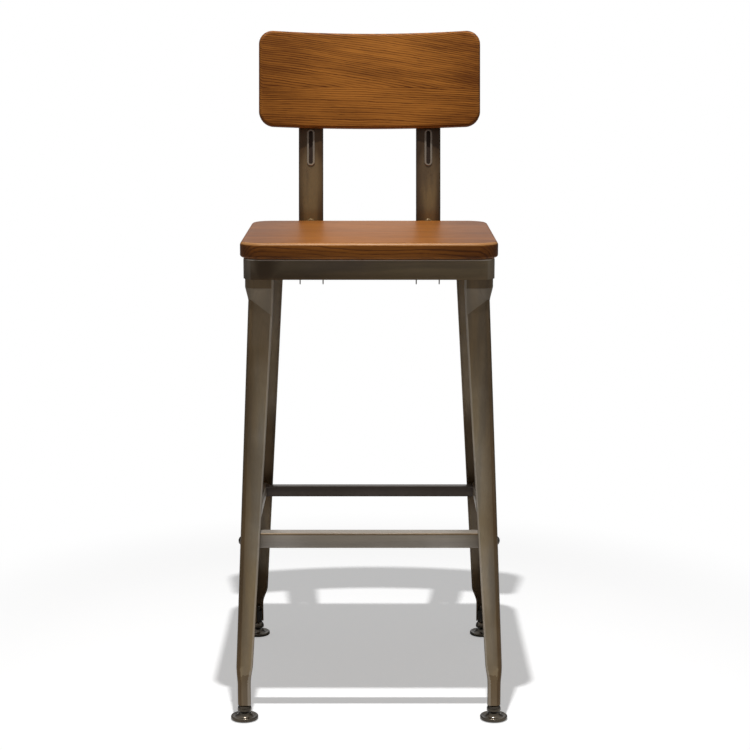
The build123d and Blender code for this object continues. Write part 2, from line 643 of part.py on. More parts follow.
# All the pieces by name
def all_pieces():
    pieces = {"seat_board": seat_board(), "seat_pan": seat_pan(), "seat_screws": seat_screws()}
    pieces["footrest_front"] = cross_rail(FRONT_RAIL, -1)
    pieces["footrest_rear"] = cross_rail(SMALL_RAIL, 1)
    pieces["footrest_plugs"] = rail_plugs()
    pieces["footrest_bolts"] = rail_bolts()
    for side_name, side in SIDES:
        pieces[f"footrest_{side_name}"] = side_rail(side)
        pieces[f"upright_{side_name}"] = upright(side)
        pieces[f"clamp_strip_{side_name}"] = clamp_strip(side)
    pieces["upright_bolts"] = upright_bolts()
    pieces["upright_washers"] = upright_washers()
    pieces["upright_spacers"] = upright_spacers()
    pieces["upright_nuts"] = upright_nuts()
    pieces["backrest_board"] = backrest_board()
    pieces["backrest_bolts"] = backrest_bolts()
    pieces["backrest_washers"] = backrest_washers()
    pieces["backrest_inserts"] = backrest_inserts()
    glide = {"foot_plug": foot_plug(), "foot_stud": foot_stud(), "foot_liner": foot_liner(),
             "foot_base": foot_base(), "foot_pad": foot_pad()}
    for end_name, end in ENDS:
        foot_x = FOOT_FRONT_X if end < 0 else FOOT_REAR_X
        for side_name, side in SIDES:
            corner = f"{end_name}_{side_name}"
            pieces[f"leg_{corner}"] = placed_leg(side, end)
            for piece_name, piece in glide.items():
                pieces[f"{piece_name}_{corner}"] = Pos(side * foot_x, end * FOOT_Y, 0) * piece
    return pieces


def main():
    pieces = {}
    for name, piece in all_pieces().items():
        pieces[name] = piece if isinstance(piece, list) else [piece]
    boxes = [solid.bounding_box() for solids in pieces.values() for solid in solids]
    shift = -(min(box.min.Y for box in boxes) + max(box.max.Y for box in boxes)) / 2
    os.makedirs("parts", exist_ok=True)
    for name, solids in pieces.items():
        moved = [Pos(0, shift, 0) * solid for solid in solids]
        shape = moved[0] if len(moved) == 1 else Compound(children=moved)
        export_step(shape, f"parts/{name}.step")
    highest = max(box.max.Z for box in boxes)
    print(f"{len(pieces)} pieces, moved {shift:.4f} along Y so that the stool's box is centred")
    print(f"highest point {highest:.3f}")


main()
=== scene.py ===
# %% [markdown]
# A bar stool with a wooden seat and back on a dark steel frame.
# The engineering model is loaded first and never changes. It says where every piece is and how it
# moves. This lesson gives the pieces the soft edges, the wood grain and the worn steel of the real
# stool, then lights it and sets up a camera.

# %% Load the imported stool
import json
from math import copysign, cos, pi, radians, sin

import bmesh
import bpy
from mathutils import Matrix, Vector


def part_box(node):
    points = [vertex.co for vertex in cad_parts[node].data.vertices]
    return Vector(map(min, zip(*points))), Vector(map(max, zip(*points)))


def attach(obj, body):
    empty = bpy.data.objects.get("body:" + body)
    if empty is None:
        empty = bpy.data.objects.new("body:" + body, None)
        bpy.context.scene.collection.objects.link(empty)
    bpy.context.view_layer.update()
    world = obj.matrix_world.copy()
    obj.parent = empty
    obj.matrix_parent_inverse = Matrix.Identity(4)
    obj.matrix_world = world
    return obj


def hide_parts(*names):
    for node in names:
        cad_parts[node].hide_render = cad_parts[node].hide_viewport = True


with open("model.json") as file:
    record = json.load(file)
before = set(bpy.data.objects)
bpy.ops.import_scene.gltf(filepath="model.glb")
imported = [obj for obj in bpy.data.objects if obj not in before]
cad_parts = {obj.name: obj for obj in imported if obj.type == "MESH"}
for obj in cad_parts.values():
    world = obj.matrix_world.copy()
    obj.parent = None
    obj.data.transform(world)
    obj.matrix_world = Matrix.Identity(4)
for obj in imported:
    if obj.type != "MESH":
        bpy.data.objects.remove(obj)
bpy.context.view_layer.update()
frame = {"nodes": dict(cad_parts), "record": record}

# %% [markdown]
# Pressed and turned steel is smooth, but the loaded shapes are loose flat triangles, so curved sheet
# would show facets. One could model each piece again, or copy its mesh, join the triangles, and
# shade the copy smooth while keeping the true corners sharp. The copy is exact, so that is used
# here. Some pieces also get marks, such as how worn a face is at each of its corners, for the finish
# to read.

# %% Smooth copies of the loaded pieces
JOIN_DISTANCE = 0.000002
FLAT_ANGLE = radians(0.3)
CORNER_ANGLE = radians(32)
BODY_OF = {node: body for body, nodes in frame["record"]["behaviour"]["bodies"].items() for node in nodes}


def show(piece, node):
    """Put a new piece into the scene in place of a loaded node."""
    bpy.context.scene.collection.objects.link(piece)
    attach(piece, BODY_OF[node])
    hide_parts(node)
    return piece


def add_marks(shape, marks):
    """Write each named amount at every corner of every face."""
    for mark, amount in marks.items():
        layer = shape.loops.layers.float.new(mark)
        for face in shape.faces:
            for loop in face.loops:
                loop[layer] = amount(face, loop.vert)


def smooth_copy(node, material, **marks):
    """A copy of a loaded node with joined triangles, smooth faces and named marks."""
    shape = bmesh.new()
    shape.from_mesh(frame["nodes"][node].data)
    bmesh.ops.remove_doubles(shape, verts=shape.verts, dist=JOIN_DISTANCE)
    bmesh.ops.dissolve_limit(shape, angle_limit=FLAT_ANGLE, verts=shape.verts, edges=shape.edges)
    for face in shape.faces:
        face.smooth = True
    for edge in shape.edges:
        edge.smooth = len(edge.link_faces) == 2 and edge.calc_face_angle() < CORNER_ANGLE
    add_marks(shape, marks)
    mesh = bpy.data.meshes.new(f"{node}_skin")
    shape.to_mesh(mesh)
    shape.free()
    mesh.materials.append(material)
    return show(bpy.data.objects.new(f"{node}_skin", mesh), node)


# %% [markdown]
# Every finish below is made of nodes. These few helpers add a node, set or link its inputs, and keep
# the recipes short enough to read.

# %% Helpers for node recipes
def add_node(tree, kind, inputs=None, **settings):
    node = tree.nodes.new(kind)
    for name, value in settings.items():
        setattr(node, name, value)
    for key, value in (inputs or {}).items():
        if isinstance(value, bpy.types.NodeSocket):
            tree.links.new(value, node.inputs[key])
        else:
            node.inputs[key].default_value = value
    return node


def calc(tree, operation, first, second=0.0):
    return add_node(tree, "ShaderNodeMath", {0: first, 1: second}, operation=operation).outputs[0]


def plus(tree, first, second):
    return calc(tree, "ADD", first, second)


def minus(tree, first, second):
    return calc(tree, "SUBTRACT", first, second)


def times(tree, first, second):
    return calc(tree, "MULTIPLY", first, second)


def larger(tree, first, second):
    return calc(tree, "MAXIMUM", first, second)


def split(tree, vector):
    return add_node(tree, "ShaderNodeSeparateXYZ", {0: vector}).outputs


def join(tree, x, y, z):
    return add_node(tree, "ShaderNodeCombineXYZ", {0: x, 1: y, 2: z}).outputs[0]


def length(tree, vector):
    return add_node(tree, "ShaderNodeVectorMath", {0: vector}, operation="LENGTH").outputs["Value"]


def stretch(tree, vector, scale):
    node = add_node(tree, "ShaderNodeVectorMath", {0: vector, 1: scale}, operation="MULTIPLY")
    return node.outputs[0]


def noise(tree, vector, scale=1.0, detail=2.0, roughness=0.5):
    inputs = {"Vector": vector, "Scale": scale, "Detail": detail, "Roughness": roughness}
    return add_node(tree, "ShaderNodeTexNoise", inputs).outputs[0]


def chance(tree, number):
    """A random value and a random colour for each whole number."""
    return add_node(tree, "ShaderNodeTexWhiteNoise", {"W": number}, noise_dimensions="1D").outputs


def ramp(tree, value, low, high, start=0.0, end=1.0):
    """Goes smoothly from start to end while the value goes from low to high."""
    inputs = {"Value": value, "From Min": low, "From Max": high, "To Min": start, "To Max": end}
    return add_node(tree, "ShaderNodeMapRange", inputs, interpolation_type="SMOOTHSTEP").outputs[0]


def mix_colour(tree, share, first, second, blend="MIX"):
    inputs = {0: share, 6: first, 7: second}
    return add_node(tree, "ShaderNodeMix", inputs, data_type="RGBA", blend_type=blend).outputs[2]


def choose(tree, share, first, second):
    """The first value where the share is 0, the second where it is 1."""
    return add_node(tree, "ShaderNodeMix", {0: share, 2: first, 3: second}).outputs[0]


def read_mark(tree, mark):
    return add_node(tree, "ShaderNodeAttribute", attribute_name=mark).outputs["Fac"]


def new_group(name, inputs, outputs):
    """A node group with named sockets. Returns the tree, its input sockets and its output node."""
    tree = bpy.data.node_groups.new(name, "ShaderNodeTree")
    for label, kind, value in inputs:
        socket = tree.interface.new_socket(label, in_out="INPUT", socket_type=f"NodeSocket{kind}")
        if value is not None:
            socket.default_value = value
    for label, kind in outputs:
        tree.interface.new_socket(label, in_out="OUTPUT", socket_type=f"NodeSocket{kind}")
    return tree, tree.nodes.new("NodeGroupInput").outputs, tree.nodes.new("NodeGroupOutput")


def put_out(tree, target, values):
    for label, value in values.items():
        tree.links.new(value, target.inputs[label])


FINISH_OUTPUTS = [("Colour", "Color"), ("Roughness", "Float"), ("Height", "Float")]
print("every finish puts out", [label for label, kind in FINISH_OUTPUTS])

# %% [markdown]
# The boards are glued up from strips of stained, ring-porous wood. A cut board shows the tree's
# yearly rings as fine lines along the grain, which bend where the cut comes near the heart. One
# could stripe a noise texture, but real figure comes from geometry: each strip here has its own
# heart line, and the distance from that line gives the rings. Each ring starts with a thin dark
# band of pores.
# In these recipes X runs along the grain, Y across the strips and Z through the board.

# %% Where a strip was in its tree
HEART_SPREAD = 0.07
HEART_DEPTH = 0.06
HEART_DEPTH_SPREAD = 0.04
LOG_SPREAD = 3.0


def place_in_tree(tree, source, along, across, through, chances):
    """Where in its tree each point of a strip was, measured from the heart."""
    heart_y = plus(tree, times(tree, chances[0], HEART_SPREAD), source["Heart"])
    heart_z = plus(tree, times(tree, chances[1], HEART_DEPTH_SPREAD), HEART_DEPTH)
    in_strip = times(tree, minus(tree, calc(tree, "FRACT", across), 0.5), source["Strip width"])
    slant = times(tree, times(tree, chances[2], source["Slant"]), along)
    # A bent board's figure follows the bend
    dip = times(tree, times(tree, along, along), source["Bend"])
    up_trunk = plus(tree, along, times(tree, chances[0], LOG_SPREAD))
    tree_y = plus(tree, plus(tree, in_strip, heart_y), slant)
    tree_z = plus(tree, minus(tree, through, dip), heart_z)
    return up_trunk, tree_y, tree_z


print("hearts lie", HEART_DEPTH, "to", HEART_DEPTH + HEART_DEPTH_SPREAD, "m from a board")

# %% Yearly rings
SWAY_SCALE = (3.4, 11, 11)
SWAY = 0.02
RIPPLE_SCALE = (36, 130, 130)
RIPPLE = 0.0019
BAND_RISE = (0.0, 0.1)
BAND_FALL = (0.15, 0.5, 1.0, 0.0)
FAINT_YEAR = 0.4


def ring_bands(tree, log, tree_y, tree_z, ring_width):
    """The dark band with which each ring starts, fainter in some years."""
    sway = minus(tree, noise(tree, stretch(tree, log, SWAY_SCALE)), 0.5)
    ripple = minus(tree, noise(tree, stretch(tree, log, RIPPLE_SCALE)), 0.5)
    reach = length(tree, join(tree, 0.0, tree_y, tree_z))
    reach = plus(tree, reach, times(tree, sway, SWAY))
    reach = plus(tree, reach, times(tree, ripple, RIPPLE))
    rings = calc(tree, "DIVIDE", reach, ring_width)
    turn = calc(tree, "FRACT", rings)
    year = chance(tree, calc(tree, "FLOOR", rings))["Value"]
    band = times(tree, ramp(tree, turn, *BAND_RISE), ramp(tree, turn, *BAND_FALL))
    return times(tree, band, ramp(tree, year, 0.0, 1.0, FAINT_YEAR, 1.0))


print("rings sway by up to", SWAY / 2, "m and ripple by up to", RIPPLE / 2, "m")

# %% [markdown]
# The tone of a point is a sum of shares: its ring's band, fibres, streaks, pores, slow changes of
# stain, the strip's own chance and the glued seam. Painted shade darkens the tone towards the ends
# of a board, on the seat's sides and along the back's lower edge. The tone then picks a colour
# between light and dark wood. A painted highlight turns the seat's rounded front edge to lighter wood.

# %% Wood figure
FIBRE_SCALE = (10, 700, 700)
STREAK_SCALE = (5, 130, 130)
PORE_SCALE = (34, 1100, 1100)
STAIN_SCALE = (7, 26, 26)
PORE_RANGE = (0.56, 0.7)
PORE_OUTSIDE_BAND = 0.2
END_RANGE = (0.25, 1.0)
SEAM_RANGE = (0.49, 0.5)
BAND_SHARE = 0.6
FIBRE_SHARE = 0.8
STREAK_SHARE = 0.5
STAIN_SHARE = 0.7
PORE_SHARE = 0.6
STRIP_SHARE = 0.12
SEAM_SHARE = 0.12
END_SHARE = 0.26
MEAN_TONE = 0.15
TONE_RANGE = (-0.35, 0.75)
PORE_ROUGHNESS = 0.2
FIBRE_ROUGHNESS = (0.2, 0.8, -0.05, 0.05)
FIBRE_HEIGHT = 0.3
PORE_HEIGHT = 0.8
BAND_HEIGHT = 0.25
WOOD_INPUTS = [("Vector", "Vector", None), ("Light wood", "Color", (0.5, 0.25, 0.1, 1)),
               ("Dark wood", "Color", (0.1, 0.04, 0.015, 1)), ("Strip width", "Float", 0.05),
               ("Ring width", "Float", 0.004), ("Half length", "Float", 0.2), ("Seed", "Float", 0.0),
               ("Heart", "Float", 0.05), ("Bend", "Float", 0.0), ("Slant", "Float", 0.0),
               ("Contrast", "Float", 1.0), ("Highlight wood", "Color", (0.8, 0.42, 0.16, 1)),
               ("Highlight", "Float", 0.0), ("Shade", "Float", 0.0), ("Roughness", "Float", 0.4)]


def wood_figure_group():
    tree, source, target = new_group("Wood figure", WOOD_INPUTS, FINISH_OUTPUTS)
    along, sideways, through = split(tree, source["Vector"])
    across = calc(tree, "DIVIDE", sideways, source["Strip width"])
    strip = plus(tree, calc(tree, "FLOOR", across), source["Seed"])
    chances = split(tree, chance(tree, strip)["Color"])
    up_trunk, tree_y, tree_z = place_in_tree(tree, source, along, across, through, chances)
    log = join(tree, up_trunk, tree_y, tree_z)
    band = ring_bands(tree, log, tree_y, tree_z, source["Ring width"])
    fibre = noise(tree, stretch(tree, log, FIBRE_SCALE), 1.0, 3.0, 0.6)
    streak = noise(tree, stretch(tree, log, STREAK_SCALE), 1.0, 3.0, 0.6)
    stain = noise(tree, stretch(tree, log, STAIN_SCALE), 1.0, 3.0)
    pores = ramp(tree, noise(tree, stretch(tree, log, PORE_SCALE), 1.0, 1.0), *PORE_RANGE)
    in_band = plus(tree, times(tree, band, 1.0 - PORE_OUTSIDE_BAND), PORE_OUTSIDE_BAND)
    pores = times(tree, pores, in_band)
    seam = calc(tree, "ABSOLUTE", minus(tree, calc(tree, "FRACT", across), 0.5))
    seam = ramp(tree, seam, *SEAM_RANGE)
    # Painted shade: the tone darkens towards the board's ends.
    ends = calc(tree, "DIVIDE", calc(tree, "ABSOLUTE", along), source["Half length"])
    ends = times(tree, ramp(tree, ends, *END_RANGE), END_SHARE)
    tone = times(tree, band, BAND_SHARE)
    for value, middle, share in ((fibre, 0.5, FIBRE_SHARE), (streak, 0.5, STREAK_SHARE),
                                 (stain, 0.5, STAIN_SHARE), (pores, 0.0, PORE_SHARE),
                                 (chances[2], 0.5, STRIP_SHARE), (seam, 0.0, SEAM_SHARE)):
        tone = plus(tree, tone, times(tree, minus(tree, value, middle), share))
    tone = times(tree, minus(tree, tone, MEAN_TONE), source["Contrast"])
    tone = plus(tree, tone, plus(tree, ends, MEAN_TONE))
    # Painted shade from the finish is added to the tone here.
    tone = ramp(tree, plus(tree, tone, source["Shade"]), *TONE_RANGE)
    colour = mix_colour(tree, tone, source["Light wood"], source["Dark wood"])
    # Painted highlight: marked places turn towards lighter wood.
    colour = mix_colour(tree, source["Highlight"], colour, source["Highlight wood"])
    roughness = plus(tree, source["Roughness"], times(tree, pores, PORE_ROUGHNESS))
    roughness = plus(tree, roughness, ramp(tree, fibre, *FIBRE_ROUGHNESS))
    height = minus(tree, times(tree, fibre, FIBRE_HEIGHT), times(tree, pores, PORE_HEIGHT))
    height = minus(tree, height, times(tree, band, BAND_HEIGHT))
    put_out(tree, target, {"Colour": colour, "Roughness": roughness, "Height": height})
    return tree


WOOD_FIGURE = wood_figure_group()
print("wood figure group with", len(WOOD_FIGURE.nodes), "nodes")

# %% [markdown]
# The steel is bare metal darkened by a patina and sealed with clear lacquer. Slow olive, brown and
# grey clouds drift along each piece, with polishing lines too fine to see from afar. A flat dark
# grey would look painted, so the clouds change both the colour and the roughness. A painted
# highlight mixes in brighter steel and smooths it. Painted shade darkens the colour towards dark
# brown and roughens it.

# %% Steel patina
CLOUD_SCALE = 7.0
CLOUD_RANGE = (0.34, 0.66)
BAND_STRETCH = (0.05, 0.05, 0.05)
BAND_RANGE = (0.35, 0.65)
CLOUD_BRONZE = 0.6
BAND_BRONZE = 0.4
LINE_SHADE = (0.25, 0.75, 0.94, 1.06)
BAND_SHADE = (0.0, 1.0, 0.88, 1.12)
CLOUD_SHADE = (0.0, 1.0, 1.1, 0.86)
SHADE_TINT = (0.34, 0.26, 0.16, 1)
CLOUD_ROUGHNESS = 0.1
LINE_ROUGHNESS = (0.3, 0.7, -0.04, 0.04)
HIGHLIGHT_SMOOTHNESS = 0.12
DARK_ROUGHNESS = 0.15
LINE_HEIGHT = 0.4
PATINA_INPUTS = [("Vector", "Vector", None), ("Along", "Vector", None),
                 ("Grey", "Color", (0.1, 0.1, 0.1, 1)), ("Bronze", "Color", (0.15, 0.1, 0.05, 1)),
                 ("Bright", "Color", (0.85, 0.78, 0.68, 1)), ("Roughness", "Float", 0.35),
                 ("Highlight", "Float", 0.0), ("Dark", "Float", 0.0)]


def patina_group():
    tree, source, target = new_group("Steel patina", PATINA_INPUTS, FINISH_OUTPUTS)
    clouds = ramp(tree, noise(tree, source["Vector"], CLOUD_SCALE, 3.0), *CLOUD_RANGE)
    bands = ramp(tree, noise(tree, stretch(tree, source["Along"], BAND_STRETCH)), *BAND_RANGE)
    lines = noise(tree, source["Along"], 1.0, 2.0, 0.6)
    share = plus(tree, times(tree, clouds, CLOUD_BRONZE), times(tree, bands, BAND_BRONZE))
    colour = mix_colour(tree, share, source["Grey"], source["Bronze"])
    shade = times(tree, ramp(tree, lines, *LINE_SHADE), ramp(tree, bands, *BAND_SHADE))
    shade = times(tree, shade, ramp(tree, clouds, *CLOUD_SHADE))
    grey = add_node(tree, "ShaderNodeCombineColor", {0: shade, 1: shade, 2: shade}).outputs[0]
    colour = mix_colour(tree, 1.0, colour, grey, "MULTIPLY")
    # Painted shade: darker places are tinted dark brown.
    colour = mix_colour(tree, ramp(tree, source["Dark"], 0.0, 1.0), colour, SHADE_TINT, "MULTIPLY")
    # Painted highlight: marked places turn towards bright steel.
    colour = mix_colour(tree, source["Highlight"], colour, source["Bright"])
    roughness = plus(tree, source["Roughness"], times(tree, clouds, CLOUD_ROUGHNESS))
    roughness = plus(tree, roughness, ramp(tree, lines, *LINE_ROUGHNESS))
    roughness = minus(tree, roughness, times(tree, source["Highlight"], HIGHLIGHT_SMOOTHNESS))
    roughness = plus(tree, roughness, times(tree, source["Dark"], DARK_ROUGHNESS))
    height = times(tree, lines, LINE_HEIGHT)
    put_out(tree, target, {"Colour": colour, "Roughness": roughness, "Height": height})
    return tree


PATINA = patina_group()
print("patina group with", len(PATINA.nodes), "nodes")

# %% [markdown]
# A finish places a group, gives it this piece's own values, and feeds a Principled shader. The
# coordinates are the object's own, in metres, so the same recipe has the same scale on every piece.
# Some finishes are also given a function that says where shade is painted into the stain or the patina.

# %% Finishes
COAT_ROUGHNESS = 0.2
WOOD_BUMP = 0.00005
STEEL_BUMP = 0.000012
DARK_WOOD = (0.10, 0.027, 0.004, 1)


def new_finish(name, group, values, bump_distance, metallic=0.0, coat=0.0, specular=0.5):
    material = bpy.data.materials.new(name)
    material.use_nodes = True
    tree = material.node_tree
    shader = tree.nodes["Principled BSDF"]
    shader.inputs["Metallic"].default_value = metallic
    shader.inputs["Coat Weight"].default_value = coat
    shader.inputs["Coat Roughness"].default_value = COAT_ROUGHNESS
    shader.inputs["Specular IOR Level"].default_value = specular
    place = add_node(tree, "ShaderNodeTexCoord").outputs["Object"]
    recipe = add_node(tree, "ShaderNodeGroup", node_tree=group)
    for label, value in values.items():
        recipe.inputs[label].default_value = value
    bump_inputs = {"Strength": 1.0, "Distance": bump_distance, "Height": recipe.outputs["Height"]}
    bump = add_node(tree, "ShaderNodeBump", bump_inputs)
    tree.links.new(recipe.outputs["Colour"], shader.inputs["Base Color"])
    tree.links.new(recipe.outputs["Roughness"], shader.inputs["Roughness"])
    tree.links.new(bump.outputs[0], shader.inputs["Normal"])
    return material, tree, place, recipe


def wood_finish(name, shift, turn, shine, light, shading, **figure):
    values = {"Light wood": light, "Dark wood": DARK_WOOD}
    values.update({label.replace("_", " ").capitalize(): value for label, value in figure.items()})
    material, tree, place, recipe = new_finish(name, WOOD_FIGURE, values, WOOD_BUMP, specular=shine)
    mapping = add_node(tree, "ShaderNodeMapping", {"Vector": place, "Location": shift, "Rotation": turn})
    tree.links.new(mapping.outputs[0], recipe.inputs["Vector"])
    tree.links.new(read_mark(tree, "worn"), recipe.inputs["Highlight"])
    tree.links.new(shading(tree, place), recipe.inputs["Shade"])
    return material


def steel_finish(name, grain, grey, bronze, roughness=0.3, metallic=0.45, coat=0.15, dark=None):
    values = {"Grey": grey, "Bronze": bronze, "Roughness": roughness}
    material, tree, place, recipe = new_finish(name, PATINA, values, STEEL_BUMP, metallic, coat)
    tree.links.new(place, recipe.inputs["Vector"])
    tree.links.new(stretch(tree, place, grain), recipe.inputs["Along"])
    tree.links.new(read_mark(tree, "worn"), recipe.inputs["Highlight"])
    if dark:
        tree.links.new(dark(tree, place), recipe.inputs["Dark"])
    return material


print("bumps of", WOOD_BUMP, "m on wood and", STEEL_BUMP, "m on steel")

# %% [markdown]
# Both boards have the same dark stain over slightly different wood. The seat shows long straight
# figure and a satin shine. The back is duller, with finer rings that run across it at a slant.

# %% Wood finishes
SEAT_LIGHT_WOOD = (0.54, 0.186, 0.025, 1)
BACK_LIGHT_WOOD = (0.46, 0.17, 0.028, 1)
SEAT_SHINE = 0.2
BACK_SHINE = 0.12
SEAT_ORIGIN = (0, 0.02, -0.76)
SEAT_TURN = (0, 0, 0)
BACK_ORIGIN = (0, -0.99, 0.2)
BACK_TURN = (radians(-90), 0, 0)
BACK_LOW_SHADE = (0.93, 0.985, 0.06, 0.0)


def seat_side_shade(tree, place):
    """Painted shade where the seat is marked dark."""
    return read_mark(tree, "dark")


def back_low_shade(tree, place):
    """Painted shade along the back board's lower edge."""
    return ramp(tree, split(tree, place)[2], *BACK_LOW_SHADE)


SEAT_WOOD = wood_finish("Wood of seat", SEAT_ORIGIN, SEAT_TURN, SEAT_SHINE, SEAT_LIGHT_WOOD, seat_side_shade,
                        strip_width=0.062, ring_width=0.004, half_length=0.2, seed=3.0, slant=0.03,
                        contrast=0.55, roughness=0.38)
BACK_WOOD = wood_finish("Wood of back", BACK_ORIGIN, BACK_TURN, BACK_SHINE, BACK_LIGHT_WOOD, back_low_shade,
                        strip_width=0.1, ring_width=0.0032, half_length=0.19, seed=14.0, heart=0.13,
                        bend=1.08, slant=0.24, contrast=1.2, roughness=0.48)
print("wood finishes", SEAT_WOOD.name, BACK_WOOD.name)

# %% [markdown]
# These ranges paint shade into the patina. The legs darken towards the seat, which shades their
# tops, and inside near the rails and the feet. The uprights are darker along their edges, just
# below the back board and near the seat, the pan towards its lower edge and its left side, the front
# rail towards its ends. Each range below gives two places in metres, and how dark the painted shade
# is at the first and at the second.

# %% Dark places
# Painted shade on the legs, the uprights, the pan and the front rail.
LEG_TOP = (0.4, 0.64, 0.0, 0.7)
LEG_LOW = (0.12, 0.3, 0.26, 0.0)
INSIDE_ABOVE_RAIL = (0.37, 0.46, 1.0, 0.3)
INSIDE_BELOW_RAIL = (0.22, 0.28, 0.45, 0.0)
INSIDE_NEAR_FOOT = (0.1, 0.14, 0.45, 0.0)
UPRIGHT_MIDDLE = 0.1022
UPRIGHT_EDGES = (0.005, 0.02, 0.0, 0.6)
UPRIGHT_TOP = (0.85, 0.9, 0.0, 0.75)
UPRIGHT_LOW = (0.78, 0.83, 0.25, 0.0)
PAN_LOW = (0.704, 0.728, 0.5, 0.0)
PAN_BESIDE = (0.13, 0.162, 0.0, 0.6)
PAN_BEYOND = (0.168, 0.186, 0.0, 0.6)
PAN_DRIFT = (-0.19, 0.19, 0.0, 0.3)
RAIL_ENDS = (0.13, 0.18, 0.0, 0.45)


def leg_dark(tree, place):
    """Painted shade towards a leg's top, on its marked places and inside near the rails and the foot, and
    a little low down outside.
    """
    height = split(tree, place)[2]
    inside = minus(tree, ramp(tree, height, *INSIDE_ABOVE_RAIL), ramp(tree, height, *INSIDE_BELOW_RAIL))
    inside = plus(tree, inside, ramp(tree, height, *INSIDE_NEAR_FOOT))
    outside = larger(tree, ramp(tree, height, *LEG_TOP), ramp(tree, height, *LEG_LOW))
    outside = larger(tree, outside, read_mark(tree, "dark"))
    return choose(tree, read_mark(tree, "inner"), outside, inside)


def upright_dark(tree, place):
    """Painted shade along an upright's two edges, just below the back board and near the seat."""
    sideways, _, height = split(tree, place)
    off_middle = minus(tree, calc(tree, "ABSOLUTE", sideways), UPRIGHT_MIDDLE)
    edges = ramp(tree, calc(tree, "ABSOLUTE", off_middle), *UPRIGHT_EDGES)
    dark = plus(tree, edges, ramp(tree, height, *UPRIGHT_TOP))
    return plus(tree, dark, ramp(tree, height, *UPRIGHT_LOW))


def pan_dark(tree, place):
    """Painted shade towards the pan's lower edge and its left side, most of all beside the left corner.
    """
    sideways, _, height = split(tree, place)
    left = times(tree, sideways, -1.0)
    beside = minus(tree, ramp(tree, left, *PAN_BESIDE), ramp(tree, left, *PAN_BEYOND))
    dark = larger(tree, ramp(tree, height, *PAN_LOW), beside)
    return plus(tree, dark, ramp(tree, left, *PAN_DRIFT))


def rail_dark(tree, place):
    """Painted shade on a cross rail's marked edge, and towards its ends, where it meets the legs."""
    sideways = calc(tree, "ABSOLUTE", split(tree, place)[0])
    return larger(tree, ramp(tree, sideways, *RAIL_ENDS), read_mark(tree, "dark"))


print("legs darken from", LEG_TOP[0], "to", LEG_TOP[1], "m above the floor")

# %% Steel and other finishes
GREY_STEEL = (0.39, 0.335, 0.265, 1)
BRONZE_STEEL = (0.40, 0.295, 0.165, 1)
TALL_GRAIN = (900, 900, 12)
WIDE_GRAIN = (12, 900, 900)
DEEP_GRAIN = (900, 12, 900)
PAN_GRAIN = (60, 60, 900)
ROUND_GRAIN = (900, 900, 900)
LEG_STEEL = steel_finish("Leg steel", TALL_GRAIN, GREY_STEEL, BRONZE_STEEL, dark=leg_dark)
BACK_STEEL = steel_finish("Upright steel", TALL_GRAIN, (0.14, 0.089, 0.046, 1), (0.25, 0.162, 0.066, 1),
                          dark=upright_dark)
# Painted shade: the clamp strips are nearly black, so the slots look dark inside.
STRIP_PAINTED_SHADE_STEEL = steel_finish("Strip steel painted as slot shade", TALL_GRAIN, (0.03, 0.015, 0.007, 1), (0.036, 0.018, 0.009, 1),
                           roughness=0.6, coat=0.0)
# Painted shade: the pan's steel is darker than the legs' steel.
PAN_SHADED_STEEL = steel_finish("Pan steel painted in shade", PAN_GRAIN, (0.165, 0.119, 0.077, 1), (0.28, 0.202, 0.107, 1),
                         dark=pan_dark)
FRONT_RAIL_STEEL = steel_finish("Front rail steel", WIDE_GRAIN, (0.43, 0.385, 0.34, 1),
                                (0.40, 0.34, 0.265, 1), dark=rail_dark)
# Painted shade: the rear rail's steel is much darker than the other rails' steel.
REAR_RAIL_SHADED_STEEL = steel_finish("Rear rail steel painted in shade", WIDE_GRAIN, (0.075, 0.058, 0.05, 1),
                               (0.09, 0.066, 0.048, 1))
SIDE_RAIL_STEEL = steel_finish("Side rail steel", DEEP_GRAIN, GREY_STEEL, BRONZE_STEEL)
GLIDE_STEEL = steel_finish("Glide steel", ROUND_GRAIN, (0.055, 0.046, 0.034, 1), (0.09, 0.066, 0.038, 1),
                           roughness=0.18, metallic=0.7, coat=0.5)
ZINC_STEEL = steel_finish("Zinc steel", ROUND_GRAIN, (0.38, 0.38, 0.37, 1), (0.5, 0.47, 0.4, 1),
                          roughness=0.36, metallic=1.0, coat=0.0)
# Painted shade: the foot plugs are nearly black inside the ends of the legs.
PLUG_PAINTED_SHADE_STEEL = steel_finish("Plug steel painted as shade", ROUND_GRAIN, (0.035, 0.03, 0.025, 1), (0.05, 0.04, 0.03, 1),
                          roughness=0.5)
BRASS = steel_finish("Brass", ROUND_GRAIN, (0.6, 0.42, 0.16, 1), (0.72, 0.5, 0.2, 1),
                     roughness=0.3, metallic=1.0, coat=0.0)
LINER = steel_finish("Liner plastic", ROUND_GRAIN, (0.02, 0.02, 0.02, 1), (0.03, 0.03, 0.03, 1),
                     roughness=0.5, metallic=0.0, coat=0.0)
RUBBER = steel_finish("Pad rubber", ROUND_GRAIN, (0.016, 0.016, 0.016, 1), (0.026, 0.025, 0.024, 1),
                      roughness=0.72, metallic=0.0, coat=0.0)
print("finishes", [material.name for material in bpy.data.materials])

# %% [markdown]
# The wooden seat is a thick board with rounded corners and softly rounded edges. One could bevel a
# box in the editor. The same steps work here: round the upright corners, then the top and bottom
# edges, and leave the top itself flat. The front of the upper edge is marked for a painted highlight,
# and the sides for painted shade.

# %% Seat board
SEAT_CORNER = 0.036
SEAT_CORNER_STEPS = 14
SEAT_TOP_ROUND = 0.006
SEAT_TOP_STEPS = 8
SEAT_BOTTOM_ROUND = 0.004
SEAT_BOTTOM_STEPS = 5
SAME_HEIGHT = 0.00001
ARRIS_TURN = (0.3, 0.98)
ARRIS_FRONT = -0.15
ARRIS_HIGHLIGHT = 0.4
SIDE_TURN = 0.3
SIDE_SHADE = 0.1


